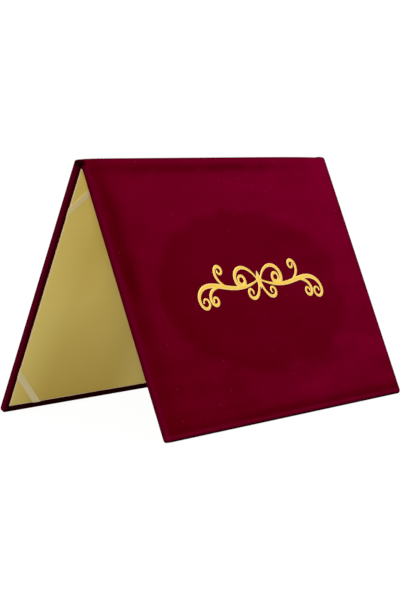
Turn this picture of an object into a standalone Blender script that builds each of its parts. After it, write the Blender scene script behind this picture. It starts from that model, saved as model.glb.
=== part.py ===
"""A velvet certificate holder that stands as a tent with its fold at the top.

Two padded covers hang on a narrow spine. The ridge runs along X, the front cover faces -Y, the back cover
faces +Y, and Z is up from the table. All sizes are in metres.

Each cover is built in its own frame, hanging from the fold: x runs along the fold, local +Y points out of
the holder, and local -Z runs down the cover. In that frame a place is given as (x, down, depth): down is the
distance from the fold line, and depth is the distance in from the outer face, so that the local point is
(x, -depth, -down).
"""

import math
from typing import NamedTuple

import bmesh
import bpy
from mathutils import Vector
from mathutils.geometry import delaunay_2d_cdt

# Overall size and stance
COVER_WIDTH = 0.315
COVER_HEIGHT = 0.232
OPENING_ANGLE = math.radians(46.8)
CORNER_RADIUS = 0.003
RIM_RADIUS = 0.0014

# Layers of a cover, from the outside in
VELVET_THICKNESS = 0.0008
PAD_THICKNESS = 0.0011
BOARD_THICKNESS = 0.0016
CRUSHED_VELVET_THICKNESS = 0.00025
RIBBON_THICKNESS = 0.00015
LINING_CARD_THICKNESS = 0.0003
LINING_THICKNESS = 0.00015
FOIL_THICKNESS = 0.00015
LAYER_GAP = 0.0002

# Borders left round the lining, and how far the velvet is turned in under it
SIDE_BORDER = 0.0046
BOTTOM_BORDER = 0.0063
TOP_BORDER = 0.0026
TURN_IN = 0.015

# The spine and the fold
SPINE_STRIP_THICKNESS = 0.001
SPINE_CLOTH_THICKNESS = 0.0004
FOLD_GAP = 0.00015
CLOSING_CLEARANCE = 0.0002

# The corner ribbons
RIBBON_WIDTH = 0.0062
RIBBON_REACH_TOP = 0.0375
RIBBON_REACH_BOTTOM = 0.0305
RIBBON_TAIL = 0.008

# The stamped foil ornament on the front cover, a symmetrical flourish with its middle this high over the rim
FOIL_LENGTH = 0.17
FOIL_SHIFT = 0.0065
FOIL_MIDDLE_HEIGHT = 0.1175
FOIL_HUB_SHARE = 0.016
SCROLL_TIP_SHARE = 0.0072
LOZENGE_WIDTH_SHARE = 0.044
LOZENGE_HEIGHT_SHARE = 0.1

# How far a cutter runs past what it cuts, and how many straight pieces make a curve
CUT_OVERRUN = 0.004
CORNER_SEGMENTS = 6
RIM_SEGMENTS = 4
SCROLL_SEGMENTS = 48
SMOOTH_ANGLE = math.radians(35)

# How the patches of the ornament are joined: corners closer than this become one, and only the inside is kept
MERGE_DISTANCE = 0.000001
INSIDE_ONLY = 1

# Worked out from the sizes above
LEAN = OPENING_ANGLE / 2
COVER_THICKNESS = 2 * VELVET_THICKNESS + PAD_THICKNESS + BOARD_THICKNESS + 3 * LAYER_GAP
SPINE_DEPTH = VELVET_THICKNESS + SPINE_STRIP_THICKNESS + SPINE_CLOTH_THICKNESS + 2 * LAYER_GAP
COVER_TOP = SPINE_DEPTH + LAYER_GAP
PANEL_TOP = COVER_TOP + TOP_BORDER
PANEL_BOTTOM = COVER_HEIGHT - BOTTOM_BORDER
PANEL_HALF_WIDTH = COVER_WIDTH / 2 - SIDE_BORDER
PANEL_ROOM = 2 * LAYER_GAP + RIBBON_THICKNESS
INNER_HALF_WIDTH = COVER_WIDTH / 2 - VELVET_THICKNESS - LAYER_GAP
INNER_TOP = COVER_TOP + VELVET_THICKNESS + LAYER_GAP
INNER_BOTTOM = COVER_HEIGHT - VELVET_THICKNESS - LAYER_GAP
INNER_RADIUS = CORNER_RADIUS - VELVET_THICKNESS

# Depths of the layers, from the outer face in. The tails of the ribbons lie under the back lining card only.
PAD_DEPTH = VELVET_THICKNESS + LAYER_GAP
BOARD_DEPTH = PAD_DEPTH + PAD_THICKNESS + LAYER_GAP
TURN_IN_DEPTH = COVER_THICKNESS - VELVET_THICKNESS
CRUSHED_DEPTH = TURN_IN_DEPTH + CRUSHED_VELVET_THICKNESS
TAIL_DEPTH = CRUSHED_DEPTH + LAYER_GAP
FRONT_CARD_DEPTH = CRUSHED_DEPTH + LAYER_GAP
BACK_CARD_DEPTH = TAIL_DEPTH + RIBBON_THICKNESS + LAYER_GAP
PANEL_STACK = LINING_CARD_THICKNESS + LAYER_GAP + LINING_THICKNESS
FRONT_LINING_FACE = FRONT_CARD_DEPTH + PANEL_STACK
BACK_LINING_FACE = BACK_CARD_DEPTH + PANEL_STACK
RIBBON_FACE = BACK_LINING_FACE + LAYER_GAP + RIBBON_THICKNESS

# The spine is as wide as the closed holder is thick, so that the covers shut parallel
SPINE_WIDTH = FRONT_LINING_FACE + RIBBON_FACE + CLOSING_CLEARANCE


class Scroll(NamedTuple):
    """One stroke of the ornament.

    length_share and stem_share are shares of FOIL_LENGTH. start_share is a share of it too for a scroll that
    grows from the lozenge, and for a tendril it is how far along the long scroll it grows. A bend is the turn
    in radians over one FOIL_LENGTH. It goes from first to last along the stroke, the later the higher
    sharpening is.
    """

    start_share: float
    heading: float
    length_share: float
    stem_share: float
    first_bend: float
    last_bend: float
    sharpening: float


LONG_SCROLL = Scroll(
    start_share=0.011,
    heading=math.radians(-24),
    length_share=0.686,
    stem_share=0.0233,
    first_bend=2.7,
    last_bend=-61.0,
    sharpening=3.6,
)
UPPER_SCROLL = Scroll(
    start_share=0.011,
    heading=math.radians(62),
    length_share=0.466,
    stem_share=0.021,
    first_bend=-6.1,
    last_bend=-56.0,
    sharpening=1.7,
)
LOWER_SCROLL = Scroll(
    start_share=0.005,
    heading=math.radians(-78),
    length_share=0.244,
    stem_share=0.0166,
    first_bend=2.2,
    last_bend=75.0,
    sharpening=1.7,
)
RISING_TENDRIL = Scroll(
    start_share=0.36,
    heading=math.radians(16),
    length_share=0.255,
    stem_share=0.0178,
    first_bend=3.6,
    last_bend=75.0,
    sharpening=1.6,
)
FALLING_TENDRIL = Scroll(
    start_share=0.42,
    heading=math.radians(-10),
    length_share=0.277,
    stem_share=0.0178,
    first_bend=-2.2,
    last_bend=-72.0,
    sharpening=1.5,
)


def clear_scene():
    for old in list(bpy.data.objects):
        bpy.data.objects.remove(old, do_unlink=True)


def make_material(name, colour, roughness, metallic=0.0):
    made = bpy.data.materials.new(name)
    made.use_nodes = True
    shader = made.node_tree.nodes["Principled BSDF"]
    shader.inputs["Base Color"].default_value = (*colour, 1.0)
    shader.inputs["Roughness"].default_value = roughness
    shader.inputs["Metallic"].default_value = metallic
    return made


def make_fold(name, side, height):
    """An empty on a fold line, turned so that its local +Y points out of the holder on that side."""
    fold = bpy.data.objects.new(name, None)
    bpy.context.collection.objects.link(fold)
    turned = 0.0 if side > 0 else math.pi
    fold.location = (0.0, side * SPINE_WIDTH / 2, height)
    fold.rotation_euler = (LEAN, 0.0, turned)
    return fold


def finish_object(name, mesh, parent, material):
    """Makes the object from a bmesh: its faces turned outwards, its round stretches shaded smooth."""
    bmesh.ops.recalc_face_normals(mesh, faces=mesh.faces)
    data = bpy.data.meshes.new(name)
    mesh.to_mesh(data)
    mesh.free()
    data.shade_smooth()
    data.set_sharp_from_angle(angle=SMOOTH_ANGLE)
    made = bpy.data.objects.new(name, data)
    bpy.context.collection.objects.link(made)
    made.parent = parent
    if material:
        data.materials.append(material)
    return made


def plate_outline(half_width, top, bottom, radius):
    """The plan of a plate: square corners at the fold, round ones at the bottom edge."""
    points = [(half_width, top)]
    for side in (1, -1):
        centre_x = side * (half_width - radius)
        for step in range(CORNER_SEGMENTS + 1):
            share = step / CORNER_SEGMENTS
            angle = math.pi / 2 * (share if side > 0 else 1 - share)
            across = centre_x + side * radius * math.cos(angle)
            points.append((across, bottom - radius + radius * math.sin(angle)))
    points.append((-half_width, top))
    return points


def rim_stations(depths, rim):
    """The depth and inset of each ring of a plate: a quarter round at both faces, or straight for no rim."""
    outer, inner = depths
    if rim <= 0.0:
        return [(outer, 0.0), (inner, 0.0)]
    angles = [math.pi / 2 * step / RIM_SEGMENTS for step in range(RIM_SEGMENTS + 1)]
    first = [(outer + rim * (1 - math.cos(angle)), rim * (1 - math.sin(angle))) for angle in angles]
    last = [(outer + inner - depth, inset) for depth, inset in reversed(first)]
    return first + last


def make_plate(name, parent, material, half_width, top, bottom, depths, radius=0.0, rim=0.0):
    """A flat layer of a cover between two depths, with its three free rims rounded where rim is given."""
    mesh = bmesh.new()
    rings = []
    for depth, inset in rim_stations(depths, rim):
        half = half_width - inset
        if radius > 0.0:
            outline = plate_outline(half, top, bottom - inset, radius - inset)
        else:
            outline = [(half, top), (half, bottom), (-half, bottom), (-half, top)]
        rings.append([mesh.verts.new((x, -depth, -down)) for x, down in outline])
    mesh.faces.new(rings[0])
    mesh.faces.new(reversed(rings[-1]))
    for ring, deeper in zip(rings, rings[1:]):
        for step in range(len(ring)):
            mesh.faces.new((ring[step], ring[step - 1], deeper[step - 1], deeper[step]))
    return finish_object(name, mesh, parent, material)


def make_prism(name, parent, material, profile, half_width):
    """A profile of (down, depth) points carried along the fold from one end to the other."""
    mesh = bmesh.new()
    ends = []
    for x in (-half_width, half_width):
        ends.append([mesh.verts.new((x, -depth, -down)) for down, depth in profile])
    count = len(profile)
    for end in ends:
        mesh.faces.new(end)
    for step in range(count):
        after = (step + 1) % count
        mesh.faces.new((ends[0][step], ends[0][after], ends[1][after], ends[1][step]))
    return finish_object(name, mesh, parent, material)


def cut_away(target, cutter):
    """Cuts the cutter out of the target and keeps it as a hidden helper."""
    cutter.hide_render = True
    cutter.display_type = "WIRE"
    cut = target.modifiers.new("Cut " + cutter.name, "BOOLEAN")
    cut.operation = "DIFFERENCE"
    cut.solver = "EXACT"
    cut.object = cutter


def add_on(target, helper):
    """Joins a hidden helper that overlaps the target to it as one body."""
    helper.hide_render = True
    helper.display_type = "WIRE"
    join = target.modifiers.new("Join " + helper.name, "BOOLEAN")
    join.operation = "UNION"
    join.solver = "EXACT"
    join.object = helper


def foot_height():
    """The height of the fold line that lets the rounded bottom rim of a leaning cover touch the table."""
    lowest = 0.0
    for step in range(RIM_SEGMENTS + 1):
        angle = math.pi / 2 * step / RIM_SEGMENTS
        down = COVER_HEIGHT - RIM_RADIUS + RIM_RADIUS * math.cos(angle)
        depth = COVER_THICKNESS - RIM_RADIUS + RIM_RADIUS * math.sin(angle)
        lowest = max(lowest, down * math.cos(LEAN) + depth * math.sin(LEAN))
    return lowest


def make_velvet(name, fold, material):
    """A cover's velvet: a face, three wrapped edges, a border and the crushed turn-in under the lining."""
    past = CUT_OVERRUN
    velvet = make_plate(
        name,
        fold,
        material,
        COVER_WIDTH / 2,
        0.0,
        COVER_HEIGHT,
        (0.0, COVER_THICKNESS),
        CORNER_RADIUS,
        RIM_RADIUS,
    )
    mitre_profile = [
        (FOLD_GAP - past, -past),
        (COVER_TOP, COVER_TOP - FOLD_GAP),
        (COVER_TOP, COVER_THICKNESS + past),
        (-past, COVER_THICKNESS + past),
        (-past, -past),
    ]
    mitre = make_prism(name + "_mitre", fold, None, mitre_profile, COVER_WIDTH / 2 + past)
    hollow = make_plate(
        name + "_hollow",
        fold,
        None,
        COVER_WIDTH / 2 - VELVET_THICKNESS,
        -past,
        COVER_HEIGHT - VELVET_THICKNESS,
        (VELVET_THICKNESS, TURN_IN_DEPTH),
        INNER_RADIUS,
    )
    hinge_seat = make_plate(
        name + "_hinge_seat",
        fold,
        None,
        COVER_WIDTH / 2 - VELVET_THICKNESS,
        -past,
        PANEL_TOP - PANEL_ROOM + LAYER_GAP,
        (BOARD_DEPTH, COVER_THICKNESS + past),
    )
    panel_seat = make_plate(
        name + "_panel_seat",
        fold,
        None,
        PANEL_HALF_WIDTH + PANEL_ROOM,
        -past,
        PANEL_BOTTOM + PANEL_ROOM,
        (CRUSHED_DEPTH, COVER_THICKNESS + past),
    )
    window = make_plate(
        name + "_window",
        fold,
        None,
        COVER_WIDTH / 2 - TURN_IN,
        -past,
        COVER_HEIGHT - TURN_IN,
        (BOARD_DEPTH, COVER_THICKNESS + past),
    )
    for cutter in (mitre, hollow, hinge_seat, panel_seat, window):
        cut_away(velvet, cutter)
    return velvet


def make_hinge_cloth(name, fold, material):
    """A cover's joint cloth: over the board's end, on to the border, and crushed flat under the lining."""
    border_end = PANEL_TOP - PANEL_ROOM
    over_end = [
        (COVER_TOP, PAD_DEPTH),
        (COVER_TOP, COVER_THICKNESS),
        (border_end, COVER_THICKNESS),
        (border_end, TURN_IN_DEPTH),
        (COVER_TOP + VELVET_THICKNESS, TURN_IN_DEPTH),
        (COVER_TOP + VELVET_THICKNESS, PAD_DEPTH),
    ]
    cloth = make_prism(name, fold, material, over_end, INNER_HALF_WIDTH)
    tongue = make_plate(
        name + "_tongue",
        fold,
        None,
        COVER_WIDTH / 2 - TURN_IN - LAYER_GAP,
        COVER_TOP + VELVET_THICKNESS,
        PANEL_TOP + TURN_IN,
        (TURN_IN_DEPTH, CRUSHED_DEPTH),
    )
    add_on(cloth, tongue)
    return cloth


def make_ribbon(name, fold, material, left, at_top):
    """A ribbon across a corner of the lining: over the front, round the card's edges, and in under the card.

    along is the distance in from the panel's side edge and rise the distance in from its top or bottom edge.
    The ribbon keeps along + rise steady on the front, and turns back on itself at each edge.
    """
    edge = LAYER_GAP + RIBBON_THICKNESS / 2
    upper = BACK_LINING_FACE + edge
    lower = TAIL_DEPTH + RIBBON_THICKNESS / 2
    leg = upper - lower
    reach = RIBBON_REACH_TOP if at_top else RIBBON_REACH_BOTTOM
    half_crossing = RIBBON_WIDTH / math.sqrt(2)
    mesh = bmesh.new()
    rows = []
    for crossing in (reach - half_crossing, reach + half_crossing):
        places = [
            (RIBBON_TAIL - edge, crossing + edge + leg + RIBBON_TAIL, lower),
            (-edge, crossing + edge + leg, lower),
            (-edge, crossing + edge, upper),
            (crossing + edge, -edge, upper),
            (crossing + edge + leg, -edge, lower),
            (crossing + edge + leg + RIBBON_TAIL, RIBBON_TAIL - edge, lower),
        ]
        row = []
        for along, rise, depth in places:
            x = PANEL_HALF_WIDTH - along
            down = PANEL_TOP + rise if at_top else PANEL_BOTTOM - rise
            row.append(mesh.verts.new((-x if left else x, -depth, -down)))
        rows.append(row)
    for step in range(len(rows[0]) - 1):
        mesh.faces.new((rows[0][step], rows[0][step + 1], rows[1][step + 1], rows[1][step]))
    ribbon = finish_object(name, mesh, fold, material)
    wall = ribbon.modifiers.new("Thickness", "SOLIDIFY")
    wall.thickness = RIBBON_THICKNESS
    wall.offset = 0.0
    wall.use_even_offset = True
    return ribbon


def make_cover(side_name, fold, card_depth, materials):
    """All the layers that the two covers share, glued flat on each other from the velvet in to the lining."""
    velvet, foam, board, paper_card, gold_paper = materials
    make_velvet(side_name + "_velvet", fold, velvet)
    inner_radius = INNER_RADIUS - LAYER_GAP
    inside = (("_pad", foam, PAD_DEPTH, PAD_THICKNESS), ("_board", board, BOARD_DEPTH, BOARD_THICKNESS))
    for ending, material, depth, thickness in inside:
        depths = (depth, depth + thickness)
        name = side_name + ending
        make_plate(name, fold, material, INNER_HALF_WIDTH, INNER_TOP, INNER_BOTTOM, depths, inner_radius)
    make_hinge_cloth(side_name + "_hinge_cloth", fold, velvet)
    card_depths = (card_depth, card_depth + LINING_CARD_THICKNESS)
    lining_depth = card_depths[1] + LAYER_GAP
    lining_depths = (lining_depth, lining_depth + LINING_THICKNESS)
    panel = (("_lining_card", paper_card, card_depths), ("_lining", gold_paper, lining_depths))
    for ending, material, depths in panel:
        name = side_name + ending
        make_plate(name, fold, material, PANEL_HALF_WIDTH, PANEL_TOP, PANEL_BOTTOM, depths)


def make_spine(height, velvet, card):
    """The spine between the folds: velvet wrapped over both ends, a card strip, and the joint cloth."""
    centre = bpy.data.objects.new("spine_centre", None)
    bpy.context.collection.objects.link(centre)
    centre.location = (0.0, 0.0, height)
    past = CUT_OVERRUN
    outer_half = SPINE_WIDTH / 2 - FOLD_GAP
    mitred_half = outer_half - SPINE_DEPTH
    mitred_profile = [
        (0.0, -outer_half),
        (0.0, outer_half),
        (SPINE_DEPTH, mitred_half),
        (SPINE_DEPTH, -mitred_half),
    ]
    spine_velvet = make_prism("spine_velvet", centre, velvet, mitred_profile, COVER_WIDTH / 2)
    hollow_profile = [
        (VELVET_THICKNESS, -outer_half - past),
        (VELVET_THICKNESS, outer_half + past),
        (SPINE_DEPTH + past, outer_half + past),
        (SPINE_DEPTH + past, -outer_half - past),
    ]
    hollow_half = COVER_WIDTH / 2 - VELVET_THICKNESS
    hollow = make_prism("spine_velvet_hollow", centre, None, hollow_profile, hollow_half)
    cut_away(spine_velvet, hollow)
    strip_half = outer_half - VELVET_THICKNESS - LAYER_GAP
    strip_top = VELVET_THICKNESS + LAYER_GAP
    strip_bottom = strip_top + SPINE_STRIP_THICKNESS
    cloth_top = strip_bottom + LAYER_GAP
    layers = (
        ("spine_strip", card, strip_top, strip_bottom),
        ("spine_hinge_cloth", velvet, cloth_top, SPINE_DEPTH),
    )
    for name, material, top, bottom in layers:
        profile = [(top, -strip_half), (top, strip_half), (bottom, strip_half), (bottom, -strip_half)]
        make_prism(name, centre, material, profile, INNER_HALF_WIDTH)


def trace_scroll(scroll, start, turned=0.0):
    """Stations (x, y, heading, half width) along a scroll, which winds up tighter towards its tip."""
    x, y = start
    heading = scroll.heading + turned
    step_share = scroll.length_share / SCROLL_SEGMENTS
    stations = []
    for step in range(SCROLL_SEGMENTS + 1):
        share = step / SCROLL_SEGMENTS
        swell = math.sin(math.pi * share)
        width_share = SCROLL_TIP_SHARE + (scroll.stem_share - SCROLL_TIP_SHARE) * swell
        stations.append((x, y, heading, width_share * FOIL_LENGTH / 2))
        bend = scroll.first_bend + (scroll.last_bend - scroll.first_bend) * share**scroll.sharpening
        chord = heading + bend * step_share / 2
        x += step_share * FOIL_LENGTH * math.cos(chord)
        y += step_share * FOIL_LENGTH * math.sin(chord)
        heading += bend * step_share
    return stations


def scroll_patches(stations, side):
    """The patches of a stroke, all turned anticlockwise. side is 1 on the right and -1 on the left."""
    edges = []
    for x, y, heading, half_width in stations:
        across = Vector((-math.sin(heading), side * math.cos(heading))) * half_width
        middle = Vector((side * x, y))
        edges.append((middle + across, middle - across))
    return [(edge[0], edge[1], after[1], after[0]) for edge, after in zip(edges, edges[1:])]


def ornament_patches():
    """Every patch of the flourish, around its lozenge at the origin."""
    long_line = trace_scroll(LONG_SCROLL, (LONG_SCROLL.start_share * FOIL_LENGTH, 0.0))
    lines = [long_line]
    for scroll in (UPPER_SCROLL, LOWER_SCROLL):
        lines.append(trace_scroll(scroll, (scroll.start_share * FOIL_LENGTH, 0.0)))
    for tendril in (RISING_TENDRIL, FALLING_TENDRIL):
        x, y, heading, _ = long_line[round(tendril.start_share * SCROLL_SEGMENTS)]
        lines.append(trace_scroll(tendril, (x, y), heading))
    patches = [patch for line in lines for side in (1, -1) for patch in scroll_patches(line, side)]
    half_width = LOZENGE_WIDTH_SHARE * FOIL_LENGTH / 2
    half_height = LOZENGE_HEIGHT_SHARE * FOIL_LENGTH / 2
    lozenge = ((half_width, 0.0), (0.0, half_height), (-half_width, 0.0), (0.0, -half_height))
    patches.append([Vector(corner) for corner in lozenge])
    return patches


def make_foil(fold, material):
    """The stamped foil: the patches of the flourish joined to one flat shape, and given its thickness."""
    corners = []
    patches = []
    for patch in ornament_patches():
        patches.append(list(range(len(corners), len(corners) + len(patch))))
        corners.extend(patch)
    joined = delaunay_2d_cdt(corners, [], patches, INSIDE_ONLY, MERGE_DISTANCE)
    places, _, triangles, _, _, sources = joined
    triangles = [triangle for triangle, source in zip(triangles, sources) if source]
    mesh = bmesh.new()
    layers = []
    hub_down = COVER_HEIGHT - FOIL_MIDDLE_HEIGHT - FOIL_HUB_SHARE * FOIL_LENGTH
    for out in (LAYER_GAP, LAYER_GAP + FOIL_THICKNESS):
        layers.append([mesh.verts.new((place.x - FOIL_SHIFT, out, place.y - hub_down)) for place in places])
    rims = {}
    for triangle in triangles:
        for layer in layers:
            mesh.faces.new([layer[corner] for corner in triangle])
        for corner, after in zip(triangle, triangle[1:] + triangle[:1]):
            rim = (min(corner, after), max(corner, after))
            rims[rim] = rims.get(rim, 0) + 1
    below, above = layers
    for (corner, after), uses in rims.items():
        if uses == 1:
            mesh.faces.new((below[corner], below[after], above[after], above[corner]))
    loose = [vert for vert in mesh.verts if not vert.link_faces]
    bmesh.ops.delete(mesh, geom=loose, context="VERTS")
    return finish_object("foil_ornament", mesh, fold, material)


def main():
    clear_scene()
    velvet = make_material("velvet", (0.147, 0.002, 0.013), 0.85)
    foam = make_material("foam", (0.7, 0.68, 0.6), 0.9)
    board = make_material("greyboard", (0.25, 0.23, 0.2), 0.9)
    paper_card = make_material("white card", (0.72, 0.65, 0.5), 0.8)
    gold_paper = make_material("gold paper", (0.46, 0.36, 0.1), 0.45)
    satin = make_material("satin ribbon", (0.62, 0.52, 0.33), 0.4)
    foil = make_material("gold foil", (0.83, 0.58, 0.12), 0.3, 1.0)
    height = foot_height()
    back_fold = make_fold("back_fold", 1, height)
    front_fold = make_fold("front_fold", -1, height)
    layers = (velvet, foam, board, paper_card, gold_paper)
    make_cover("back", back_fold, BACK_CARD_DEPTH, layers)
    make_cover("front", front_fold, FRONT_CARD_DEPTH, layers)
    for edge_name, at_top in (("top", True), ("bottom", False)):
        for side_name, left in (("left", True), ("right", False)):
            make_ribbon("ribbon_" + edge_name + "_" + side_name, back_fold, satin, left, at_top)
    make_spine(height, velvet, board)
    make_foil(front_fold, foil)


main()
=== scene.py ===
"""A velvet certificate holder, stood open as a tent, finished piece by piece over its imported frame."""

import math
from typing import NamedTuple

import bpy
import numpy as np
from mathutils import Matrix, Vector


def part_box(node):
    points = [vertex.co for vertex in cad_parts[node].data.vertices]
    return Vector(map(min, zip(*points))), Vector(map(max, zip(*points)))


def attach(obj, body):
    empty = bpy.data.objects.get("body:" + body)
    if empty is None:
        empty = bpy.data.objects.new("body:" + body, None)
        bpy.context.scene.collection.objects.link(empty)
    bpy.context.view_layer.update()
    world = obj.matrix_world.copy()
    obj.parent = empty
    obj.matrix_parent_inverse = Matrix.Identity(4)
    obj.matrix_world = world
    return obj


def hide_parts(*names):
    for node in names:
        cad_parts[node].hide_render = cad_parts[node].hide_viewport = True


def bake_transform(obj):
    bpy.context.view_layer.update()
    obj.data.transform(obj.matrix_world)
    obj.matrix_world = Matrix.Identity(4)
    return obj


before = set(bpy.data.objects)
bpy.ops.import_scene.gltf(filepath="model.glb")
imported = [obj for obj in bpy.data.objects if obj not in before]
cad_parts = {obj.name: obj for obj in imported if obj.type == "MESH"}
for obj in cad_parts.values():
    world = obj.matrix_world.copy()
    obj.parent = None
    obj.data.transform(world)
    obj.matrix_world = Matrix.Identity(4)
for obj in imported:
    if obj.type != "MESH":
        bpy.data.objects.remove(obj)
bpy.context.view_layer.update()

# Greyboard
# A grey millboard stiffens each cover, and a narrow strip of it keeps the spine straight. It is pressed from
# waste paper, cut on a guillotine, and glued in under the padding, where nothing of it shows.

FIBRE_LENGTH = 0.0024
FIBRE_DETAIL = 4.0
FIBRE_TWIST = 1.5
FIBRE_RELIEF = 0.00004
GREYBOARD_SHADES = ("#736B61", "#8F877B")
GREYBOARD_ROUGHNESS = 0.9

BYTE = 255
HEX_STARTS = (1, 3, 5)
HEX_DIGITS = 2
HEX_BASE = 16
CURVE_KNEE = 0.04045
CURVE_SLOPE = 12.92
CURVE_LIFT = 0.055
CURVE_POWER = 2.4


def linear(colour):
    """An sRGB hex colour as linear light: a straight line for the darkest values, then a power curve."""
    parts = np.array([int(colour[start : start + HEX_DIGITS], HEX_BASE) for start in HEX_STARTS]) / BYTE
    curved = ((parts + CURVE_LIFT) / (1 + CURVE_LIFT)) ** CURVE_POWER
    return (*np.where(parts <= CURVE_KNEE, parts / CURVE_SLOPE, curved), 1.0)


def add_node(tree, kind, inputs, **settings):
    """Adds one node, sets its properties, and gives each input, by name or by number, a value or a link."""
    node = tree.nodes.new("ShaderNode" + kind)
    for name, value in settings.items():
        setattr(node, name, value)
    for name, value in inputs.items():
        socket = node.inputs[name]
        if isinstance(value, bpy.types.NodeSocket):
            tree.links.new(value, socket)
        else:
            socket.default_value = value
    return node


def start_material(name, roughness):
    """A new material: its node tree, its shader, and the place on the piece in metres."""
    made = bpy.data.materials.new(name)
    made.use_nodes = True
    tree = made.node_tree
    shader = tree.nodes["Principled BSDF"]
    shader.inputs["Roughness"].default_value = roughness
    place = add_node(tree, "TexCoord", {}).outputs["Object"]
    return made, tree, shader, place


def end_material(tree, shader, colour, height, relief):
    """Gives the shader its colour, and raises the surface by the relief where the height is 1."""
    raised = add_node(tree, "Bump", {"Height": height, "Distance": relief})
    tree.links.new(colour, shader.inputs["Base Color"])
    tree.links.new(raised.outputs["Normal"], shader.inputs["Normal"])


def grained_finish(name, roughness, shades, relief, kind, measured, **pattern):
    """A plain finish where one fine pattern both mixes two shades and raises the surface by the relief."""
    made, tree, shader, place = start_material(name, roughness)
    grain = add_node(tree, kind, {"Vector": place, **pattern}).outputs[measured]
    dark, pale = (linear(shade) for shade in shades)
    tint = add_node(tree, "MixRGB", {"Fac": grain, "Color1": dark, "Color2": pale}).outputs["Color"]
    end_material(tree, shader, tint, grain, relief)
    return made


def dress_nodes(material, *names):
    """Gives a finish to pieces that keep their own shape."""
    for name in names:
        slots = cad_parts[name].data.materials
        slots.clear()
        slots.append(material)


# Greyboard gives the eye a dull grey brown with short, darker fibres that lie every way.
greyboard = grained_finish(
    "greyboard",
    GREYBOARD_ROUGHNESS,
    GREYBOARD_SHADES,
    FIBRE_RELIEF,
    "TexNoise",
    "Fac",
    Scale=1 / FIBRE_LENGTH,
    Detail=FIBRE_DETAIL,
    Distortion=FIBRE_TWIST,
)
dress_nodes(greyboard, "front_board", "back_board", "spine_strip")

# The pads
# A sheet of soft foam is glued to the outer face of each board. It is thickest over the middle, and the
# velvet draws it down at its edges, which gives the covers their faint swell and soft rims.

COVER_WIDTH = 0.315
COVER_HEIGHT = 0.232
HALF_WIDTH = COVER_WIDTH / 2
LEAN = math.radians(23.4)
FOLD_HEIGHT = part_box("spine_velvet")[1].z
HALF_SPINE = 0.00565
FOLD_RADIUS = 0.0034
FOLD_BEND = math.pi / 2 - LEAN
FOLD_CUT = FOLD_RADIUS * math.tan(FOLD_BEND / 2)
FLAT_SPINE = HALF_SPINE - FOLD_CUT
FOLD_RUN = FLAT_SPINE + FOLD_RADIUS * FOLD_BEND
BOTTOM_RUN = FOLD_RUN + COVER_HEIGHT - FOLD_CUT
# The way that each cover lies from the spine along y. Steps of it through a cell's corners turn the cell over
# on the front cover, so that its faces point outwards too.
SIDES = {"front": -1, "back": 1}

SWELL = 0.0005
SWELL_REACH = 0.007
SLACK = 0.00013
SLACK_WAVES = (0.083, 0.061)
SLACK_SLANT = 2

PAD_DEPTH = 0.001
PAD_BACK_DEPTH = 0.0021
PAD_INSET = 0.001
PAD_RIM = 0.0006
PAD_RIM_REACH = 0.0025
PAD_TOP = 0.0038
PAD_CELLS = (60, 44)
SMOOTH_ANGLE = math.radians(40)
MERGE_DIGITS = 8

FOAM_SHADES = ("#BFBAA6", "#D9D5C6")
FOAM_CELL = 0.0012
FOAM_RELIEF = 0.00015
FOAM_ROUGHNESS = 0.95


def run_at(down):
    """The way from the middle of the spine, over its outer face, to a place down from the fold line."""
    return FOLD_RUN + down - FOLD_CUT


def folded(x, run, depth, side):
    """The place in space of a point of a cover, run from the middle of the spine and depth in from its face.

    The way out along run is level, then turns down round an arc of FOLD_RADIUS, then goes straight down the
    cover. Each point is the arc's centre, plus what the depth leaves of the radius, turned by the arc so
    far, plus the straight part.
    """
    turn = np.clip((run - FLAT_SPINE) / FOLD_RADIUS, 0, FOLD_BEND)
    level = np.minimum(run, FLAT_SPINE)
    straight = np.maximum(run - FOLD_RUN, 0)
    arm = FOLD_RADIUS - depth
    y = side * (level + arm * np.sin(turn) + straight * math.sin(LEAN))
    z = FOLD_HEIGHT - FOLD_RADIUS + arm * np.cos(turn) - straight * math.cos(LEAN)
    return np.stack(np.broadcast_arrays(x, y, z), axis=-1)


def swell(x, run):
    """How far the padded face stands out: from nothing at each edge and at the fold to a gentle swell.

    It rises as an exponential curve from each of them. The product of two slow sine waves, one of them
    slanted more than the other, is the slack in the cloth.
    """
    rises = (HALF_WIDTH - np.abs(x), BOTTOM_RUN - run, run - FOLD_RUN)
    risen = np.prod([1 - np.exp(-np.maximum(rise, 0) / SWELL_REACH) for rise in rises], axis=0)
    long_wave, short_wave = SLACK_WAVES
    waves = np.sin((x + run) / long_wave * math.pi) * np.sin((x - SLACK_SLANT * run) / short_wave)
    return risen * (SWELL + SLACK * waves)


def grid_quads(rows, columns):
    """The corners of every cell of a grid whose points are numbered row by row."""
    number = np.arange(rows * columns).reshape(rows, columns)
    corners = (number[:-1, :-1], number[:-1, 1:], number[1:, 1:], number[1:, :-1])
    return np.stack(corners, axis=-1).reshape(-1, 4)


def add_piece(name, points, faces, material):
    """A mesh object from its points and faces, shaded smooth except at its sharp edges."""
    data = bpy.data.meshes.new(name)
    data.from_pydata(points.tolist(), [], faces)
    data.shade_smooth()
    data.set_sharp_from_angle(angle=SMOOTH_ANGLE)
    data.materials.append(material)
    made = bpy.data.objects.new(name, data)
    bpy.context.scene.collection.objects.link(made)
    return made


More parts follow.
